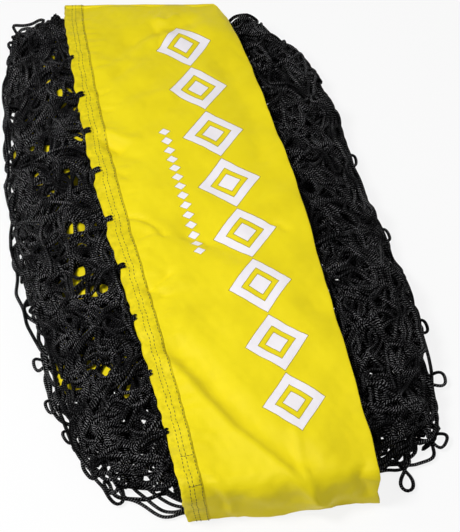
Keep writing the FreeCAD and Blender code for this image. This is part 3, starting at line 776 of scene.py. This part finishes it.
# lead a cord round one side of each opening, which slopes to the near side as it rises
def keepOpen(line):
    line = line.copy()
    slope = np.array(nettingLay["openingSlope"])
    reach, shove = nettingLay["openingReach"], nettingLay["openingShove"]
    for x, y, radius in nettingLay["openings"]:
        share = np.clip((line - (x, y)) @ slope / (slope @ slope), 0, 1)
        foot = np.array([x, y]) + share[:, None] * slope
        away = line - foot
        gap = np.hypot(*away.T)
        close = np.flatnonzero(gap < reach * radius)
        if len(close) == 0:
            continue
        for run in np.split(close, np.flatnonzero(np.diff(close) > 1) + 1):
            heading = line[run[-1]] - line[run[0]]
            aside = np.array([-heading[1], heading[0]]) / (np.hypot(*heading) + 1e-6)
            if (away[run] @ aside).mean() < 0:
                aside = -aside
            away[run] += aside * (shove * radius * (1 - gap[run] / (reach * radius)))[:, None]
        gap = np.hypot(*away.T) + 1e-6
        line = foot + away * (((gap ** 3 + radius ** 3) ** (1 / 3)) / gap)[:, None]
    return line


# the stretches of an upper cord that are not buried under the sleeve
def openRuns(line, index):
    low, high = nettingLay["hidden"]
    if index < nettingLay["lowerLayers"]:
        return [line]
    seen = (line[:, 0] < low) | (line[:, 0] > high)
    edges = np.flatnonzero(np.diff(seen.astype(int))) + 1
    runs = np.split(line, edges)
    return [run for run in runs if len(run) > 5 and (run[0, 0] < low or run[0, 0] > high)]


# lay cords one by one on a height field, each over those below it
class Pile:
    def __init__(self):
        reachX, reachY = nettingLay["reach"]
        self.corner = np.array([-reachX, -reachY], float)
        self.height = np.zeros((int(2 * reachX), int(2 * reachY)))
        radius = nettingLay["cord"] / 2
        spread = range(-2, 3)
        self.disc = [(i, j, math.sqrt(radius ** 2 - i * i - j * j)) for i in spread for j in spread
                     if i * i + j * j < radius ** 2]
        self.under = [(i, j) for i in range(-1, 2) for j in range(-1, 2) if i * i + j * j <= 1]

    def cells(self, line):
        spot = np.round(line[:, :2] - self.corner).astype(int)
        return np.clip(spot[:, 0], 2, self.height.shape[0] - 3), np.clip(spot[:, 1], 2, self.height.shape[1] - 3)

    def drop(self, line):
        lay = nettingLay
        i, j = self.cells(line)
        radius = lay["cord"] / 2
        floor = np.max([self.height[i + di, j + dj] for di, dj in self.under], axis=0)
        middle = floor + radius * lay["bed"]
        high = middle.copy()
        high[1:] = np.maximum(high[1:], middle[:-1])
        high[:-1] = np.maximum(high[:-1], middle[1:])
        level = np.maximum(smoothLine(high, 3), middle - radius * lay["cling"])
        for di, dj, rise in self.disc:
            np.maximum.at(self.height, (i + di, j + dj), level + rise)
        dive = lay["tailDive"] * np.clip(1 - fromEnds(len(level)) / lay["tailRun"], 0, 1)
        return np.column_stack([line[:, :2], np.maximum(level - dive, radius)])

    # the highest points nearby, smoothed
    def envelope(self, reach=7, passes=26):
        field = self.height.copy()

        def beside(step):
            return [np.roll(field, shift, axis) for axis in (0, 1) for shift in (step, -step)]

        for _ in range(reach):
            field = np.maximum.reduce([field, *beside(1)])
        for _ in range(passes):
            field = sum(beside(3), field) / 5
        return field

    def read(self, field, line):
        i, j = self.cells(line)
        return field[i, j]


# heights wanted of the heap, in mm: at its edge, their rise inwards, its run and its power; and
# the upper part's limit beside the sleeve, left and right, with its rise outwards
heapLay = {
    "lower": (7.0, 17.0, 60, 0.8), "upper": (13.0, 32.0, 52, 0.7),
    "limitLeft": (41.0, 7.0), "limitRight": (34.0, 12.0), "limitRun": 26,
}


def heapSlope(distance, foot, rise, run, power):
    return foot + rise * np.clip(distance / run, 0, 1) ** power


def lowerTarget(x, y, distance):
    heap = heapSlope(distance, *heapLay["lower"])
    return np.minimum(heap + 2.0 * broadWave(x + 300, y), lowerLevel(x) - 0.4)


def upperTarget(x, y, distance):
    heap = heapSlope(distance, *heapLay["upper"]) + 2.2 * broadWave(x + 90, y + 40) + 1.2 * midWave(x + 60, y)
    right = sleeveLay["left"] + sleeveLay["width"]
    beside = np.maximum(sleeveLay["left"] - x, x - right)
    foot, rise = [np.where(x < 0, left, right) for left, right in zip(heapLay["limitLeft"], heapLay["limitRight"])]
    return np.minimum(heap, foot + np.clip(beside / heapLay["limitRun"], 0, 1) * rise)


# how far the sleeve's lower pass bulges up under the openings
def glimpseRise(x, y, distance):
    flat = np.ones(x.shape)
    for spotX, spotY, radius in nettingLay["openings"]:
        gap = np.hypot(x - spotX, y - spotY)
        flat = flat * (1 - np.exp(-(gap / (radius + nettingLay["glimpseSpread"])) ** 2))
    wanted = upperTarget(x, y, distance) - nettingLay["glimpseDepth"] - 2.0
    return (1 - flat) * np.clip(wanted - lowerLevel(x), 0, None)


# highest that a cord's middle may lie below the sleeve's top pass
def roofOver(line):
    u = line[:, 0] - sleeveLay["left"]
    beneath = (u > -3) & (u < sleeveLay["width"] + 3)
    roof = sleeveLay["top"] - nettingLay["roofGap"] + clothRise(np.clip(u, 0, sleeveLay["width"]), line[:, 1])
    return np.where(beneath, roof, 60.0)


def squeeze(cords, pile, envelope, base, target):
    changed = []
    for line in cords:
        ground = pile.read(base, line)
        want = pile.read(target, line)
        have = np.maximum(pile.read(envelope, line), ground + 3)
        share = np.clip((want - ground) / (have - ground), *nettingLay["squeeze"])
        line = line.copy()
        line[:, 2] = ground + (line[:, 2] - ground) * share
        line[:, 2] = np.maximum(np.minimum(line[:, 2], roofOver(line)), nettingLay["cord"] / 2 + 0.05)
        changed.append(line)
    return changed


def buildPile():
    dice = np.random.default_rng(3)
    pile = Pile()
    i, j = np.indices(pile.height.shape)
    x, y = i + pile.corner[0], j + pile.corner[1]
    distance = insideGrid(x, y)
    ground = np.where(underSleeve(x), 2.6, 0.0)  # the sleeve's under pass
    pile.height = ground.copy()
    split = nettingLay["lowerLayers"]
    layers = [[pile.drop(line) for line in layerCords(index, dice)] for index in range(split)]
    envelope = pile.envelope()
    lowTarget = np.maximum(lowerTarget(x, y, distance), ground + 3)
    layers = [squeeze(cords, pile, envelope, ground, lowTarget) for cords in layers]
    print("lower layers", len(layers), "heap", round(float(envelope.max()), 1))
    clothTop = np.where(distance > 16, lowerLevel(x) + glimpseRise(x, y, distance) + 2.0, lowTarget)
    base = np.where(distance > 0, np.where(clothReach(x, y), clothTop, lowTarget), 0.0)
    pile.height = base.copy()
    upper = [[pile.drop(line) for line in layerCords(index, dice)]
             for index in range(split, len(nettingLay["layers"]))]
    envelope = pile.envelope()
    highTarget = np.maximum(upperTarget(x, y, distance), base + 4)
    layers += [squeeze(cords, pile, envelope, base, highTarget) for cords in upper]
    print("all layers", len(layers), "heap", round(float(envelope.max()), 1))
    return layers


def underSleeve(x):
    return (x > sleeveLay["left"]) & (x < sleeveLay["left"] + sleeveLay["width"])


# true where the sleeve's lower pass lies
def clothReach(x, y):
    headX, headY = sleeveLay["lowerHeading"]
    run = (farEdge(x) - sleeveLay["farDepth"] - y) / -headY
    return (run > 0) & (run < sleeveLay["lowerLength"]) & underSleeve(x - headX * run)


# tubes of cord along many lines at once, with a UV map in metres along and turns around
def cordMesh(name, lines, diameter):
    curve = bpy.data.curves.new(name, "CURVE")
    curve.dimensions = "3D"
    curve.bevel_depth = diameter / 2 * mm
    curve.bevel_resolution = 1  # six sides
    curve.use_fill_caps = False
    lengths = []
    for line in lines:
        spline = curve.splines.new("POLY")
        spline.points.add(len(line) - 1)
        spot = np.column_stack([line * mm, np.ones(len(line))])
        spline.points.foreach_set("co", spot.ravel().astype(np.float32))
        radius = np.ones(len(line), np.float32)
        radius[[0, -1]] = 0.001
        spline.points.foreach_set("radius", radius)
        lengths.append(np.linalg.norm(np.diff(line, axis=0), axis=1).sum() * mm)
    carrier = bpy.data.objects.new(name + "Path", curve)
    scene.collection.objects.link(carrier)
    depsgraph = bpy.context.evaluated_depsgraph_get()
    data = bpy.data.meshes.new_from_object(carrier.evaluated_get(depsgraph))
    bpy.data.objects.remove(carrier)
    uv = data.uv_layers[0]
    uv.name = "cordLay"
    flat = np.empty(len(data.loops) * 2, np.float32)
    uv.data.foreach_get("uv", flat)
    corner = np.empty(len(data.loops), np.int64)
    data.loops.foreach_get("vertex_index", corner)
    ringSize = len(data.vertices) // sum(len(line) for line in lines)
    owner = np.repeat(np.arange(len(lines)), [len(line) * ringSize for line in lines])
    flat = flat.reshape(-1, 2)
    flat[:, 0] *= np.array(lengths, np.float32)[owner[corner]]
    uv.data.foreach_set("uv", flat.ravel())
    mesh = bmesh.new()
    mesh.from_mesh(data)
    bpy.data.meshes.remove(data)
    bmesh.ops.remove_doubles(mesh, verts=mesh.verts, dist=1e-5)
    return addPiece(name, mesh, cordMaterial)


sleeve = makeSleeve()
hem = makeHem()
stitches = makeStitches(stitchLay)
print("sleeve, hem and stitches made")
layers = buildPile()
groups = [(0, 1, 2), (3, 4), (5, 6), (7, 8, 9), (10, 11, 12, 13), (14, 15, 16)]
netPieces = []
for number, group in enumerate(groups, start=1):
    lines = [line for index in group for line in layers[index]]
    piece = cordMesh("netting_%d" % number, lines, nettingLay["cord"])
    print(piece.name, len(lines), "cords", len(piece.data.polygons) * 2, "triangles")
    netPieces.append(piece)


# border cords and open meshes that lie along the netting's edge: height, then points
borderLay = [
    (3.0, [(70, -240), (80, -242), (86, -243), (92, -242), (97, -245), (105, -244), (109, -241), (110, -237),
        (106, -229), (100, -216), (98, -200)]),
    (5.5, [(74, -236), (81, -240), (87, -240), (94, -240), (101, -242), (107, -240), (107, -232), (103, -224),
        (95, -214), (92, -196)]),
    (3.0, [(98, -240), (105, -243), (111, -243), (118, -242), (126, -241), (129, -238), (129, -232), (130, -226),
        (129, -214), (122, -200)]),
    (3.2, [(108, -228), (106, -238), (104, -246), (99, -251), (96, -258), (99, -264), (105, -263), (107, -255),
        (104, -247), (100, -240), (98, -226)]),
    (3.0, [(-118, -170), (-120, -182), (-119, -189), (-117, -197), (-116, -203), (-111, -211), (-110, -217),
        (-108, -223), (-105, -228), (-101, -228), (-98, -223), (-99, -212), (-94, -200)]),
    (2.6, [(-104, -206), (-100, -217), (-98, -224), (-92, -226), (-86, -232), (-80, -240), (-75, -245), (-67, -246),
        (-62, -244), (-52, -245), (-40, -243)]),
    (4.4, [(-96, -208), (-90, -219), (-84, -227), (-79, -235), (-73, -242), (-64, -244), (-50, -243)]),
    (5.6, [(-90, -206), (-82, -219), (-75, -229), (-68, -237), (-60, -242), (-46, -241)]),
    (7.0, [(-80, -208), (-74, -222), (-66, -232), (-58, -239), (-44, -240)]),
    (5.0, [(-88, 250), (-94, 262), (-101, 274), (-103, 281), (-105, 291), (-94, 287), (-86, 288), (-79, 293),
        (-74, 291), (-80, 285), (-86, 279), (-92, 272), (-96, 258)]),
    (9.0, [(-92, 262), (-84, 276), (-80, 281), (-76, 277), (-71, 279), (-65, 281), (-58, 282), (-50, 278),
        (-44, 262)]),
    (6.0, [(-98, 256), (-106, 266), (-112, 268), (-112, 260), (-108, 254), (-114, 248), (-117, 238), (-108, 228)]),
    (3.4, [(80, 232), (86, 245), (99, 241), (111, 231), (126, 212), (138, 192), (145, 173), (147, 153), (147, 134),
        (150, 114), (151, 96), (148, 78), (148, 60), (148, 42), (140, 32)]),
    (3.0, [(136, 48), (148, 38), (149, 25), (147, 8), (152, -10), (153, -27), (151, -43), (153, -60), (156, -76),
        (156, -92), (153, -107), (153, -121), (144, -128)]),
    (3.0, [(142, -112), (153, -122), (152, -137), (151, -151), (149, -165), (145, -179), (143, -192), (140, -206),
        (137, -218), (128, -226), (118, -228)]),
    (3.2, [(-120, -72), (-134, -83), (-136, -98), (-134, -113), (-136, -126), (-131, -141), (-129, -155),
        (-127, -169), (-123, -184), (-116, -198), (-108, -204)]),
    (3.0, [(-134, 66), (-138, 58), (-142, 43), (-144, 27), (-142, 10), (-143, -5), (-147, -20), (-143, -36),
        (-143, -52), (-139, -68), (-135, -83), (-126, -88)]),
    (3.4, [(-104, 238), (-115, 235), (-123, 218), (-126, 199), (-126, 180), (-129, 162), (-131, 144), (-132, 127),
        (-134, 109), (-139, 93), (-139, 76), (-137, 58), (-128, 50)]),
]


def borderLine(level, points):
    line = resample(np.array(points, float), 2.0)
    line = resample(smoothLine(line, 4), 2.0)
    return np.column_stack([line, level + 3.0 * np.clip(1 - fromEnds(len(line)) / 7, 0, 1)])


# loops that stand out from the netting's edge, where the border cord is caught up
# each: x, y, height, heading in degrees, length
edgeLoopLay = [
    (148.8, 57.6, 6.0, -8, 12.5), (154.0, -28.1, 6.0, 5, 10.5), (153.6, -124.6, 6.0, 0, 13.0),
    (149.8, -174.5, 5.0, -6, 15.5), (136.7, -228.0, 4.5, -38, 12.5), (-142.4, -93.6, 5.0, 184, 10.0),
    (-138.9, -134.2, 5.0, 190, 10.5), (-130.3, -163.7, 4.5, 196, 10.5),
]


def loopLine(x, y, z, heading, length, width=12.0):
    turn = math.radians(heading)
    shares = np.linspace(-1, 1, 25)
    out = length * (1 - np.abs(shares) ** 2.2)
    side = width / 2 * np.sin(shares * math.pi * 0.93)
    ahead = np.array([math.cos(turn), math.sin(turn)])
    aside = np.array([-ahead[1], ahead[0]])
    spot = np.array([x, y]) + (out[:, None] - 9) * ahead + side[:, None] * aside
    return np.column_stack([spot, z + 0.8 * shares])


netPieces.append(cordMesh("netting_border", [borderLine(*lay) for lay in borderLay], 2.8))
edgeLoops = cordMesh("edgeLoops", [loopLine(*lay) for lay in edgeLoopLay], 2.6)


# netting loops that hold the hem: up its edge and over its rim
def tabLine(y, reach):
    u = np.array([reach, reach * 0.6, 0.8, -1.6, -2.2, -1.8, -1.4])
    depth = np.array([-2.0, -2.1, -2.2, -0.9, 2.0, 5.0, 9.0])
    x, yy, z = clothPoint(np.clip(u, 0, None), np.full(len(u), y), 0.0)
    line = resample(np.column_stack([x + np.minimum(u, 0), yy, z - depth]), 0.8)
    return resample(smoothLine(line, 4), 1.2)


hemTabs = cordMesh("hemTabs", [tabLine(y + side, reach) for y, reach in tabPlaces for side in (-1.4, 1.4)], 2.4)
print("loops and tabs made")


# floor, light and background
stageLay = {
    "floorColour": (0.85, 0.85, 0.85, 1.0), "floorSize": 6.0, "floorDrop": 0.0004, "floorGlow": 0.85,
    "skyLight": 0.30,
    "lamps": [("keyLamp", (-0.48, -0.20, 0.88), 0.3, 7.8), ("fillLamp", (1.2, 0.2, 1.6), 1.4, 3.0)],
}


# 1 for rays that the camera sees straight or mirrored, else 0
def seenRays(tree):
    rays = addNode(tree, "ShaderNodeLightPath")
    return calc(tree, "MAXIMUM", rays.outputs["Is Camera Ray"], rays.outputs["Is Glossy Ray"])


def makeFloor(lay):
    material, tree, shader = newMaterial("paleFloor", 0.9, 0.1)
    shader.inputs["Base Color"].default_value = lay["floorColour"]
    glow = setInputs(tree, addNode(tree, "ShaderNodeEmission"), Strength=1.0)
    share = times(tree, seenRays(tree), lay["floorGlow"])
    blend = outputOf(tree, (share, shader.outputs[0], glow.outputs[0]), "ShaderNodeMixShader")
    tree.links.new(blend, tree.nodes["Material Output"].inputs[0])
    mesh = bmesh.new()
    bmesh.ops.create_grid(mesh, x_segments=1, y_segments=1, size=lay["floorSize"])
    bmesh.ops.translate(mesh, verts=mesh.verts, vec=(0, 0, -lay["floorDrop"]))
    addPiece("floor", mesh, material)


def makeWorld(lay):
    world = bpy.data.worlds.new("studio")
    scene.world = world
    world.use_nodes = True
    tree = world.node_tree
    sky = tree.nodes["Background"]
    sky.inputs["Color"].default_value = (1.0, 1.0, 1.0, 1.0)
    tree.links.new(fade(tree, seenRays(tree), 0.0, 1.0, lay["skyLight"], 1.0), sky.inputs["Strength"])


def addLamp(name, place, size, power):
    data = bpy.data.lights.new(name, "AREA")
    data.shape = "DISK"
    data.size = size
    data.energy = power
    lamp = bpy.data.objects.new(name, data)
    lamp.location = place
    lamp.rotation_euler = Vector(place).to_track_quat("Z", "Y").to_euler()  # aimed at the origin
    scene.collection.objects.link(lamp)


makeFloor(stageLay)
makeWorld(stageLay)
for lampLay in stageLay["lamps"]:
    addLamp(*lampLay)
print("floor and light made")

# what each piece stands for and how it moves
for piece in (sleeve, hem, stitches, edgeLoops, hemTabs, *netPieces):
    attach(piece, "root")
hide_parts("sleeve", "sleeve_lower_pass")
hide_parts("sleeve_hem")
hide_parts(*["edge_loop_%02d" % number for number in range(1, 9)])
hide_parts(*["hem_tab_%02d" % number for number in range(1, 10)])
for number, piece in enumerate(netPieces[:6], start=1):
    nodes = ["net_panel_%d" % number] + (["net_turn_%d" % number] if number < 6 else [])
    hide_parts(*nodes)
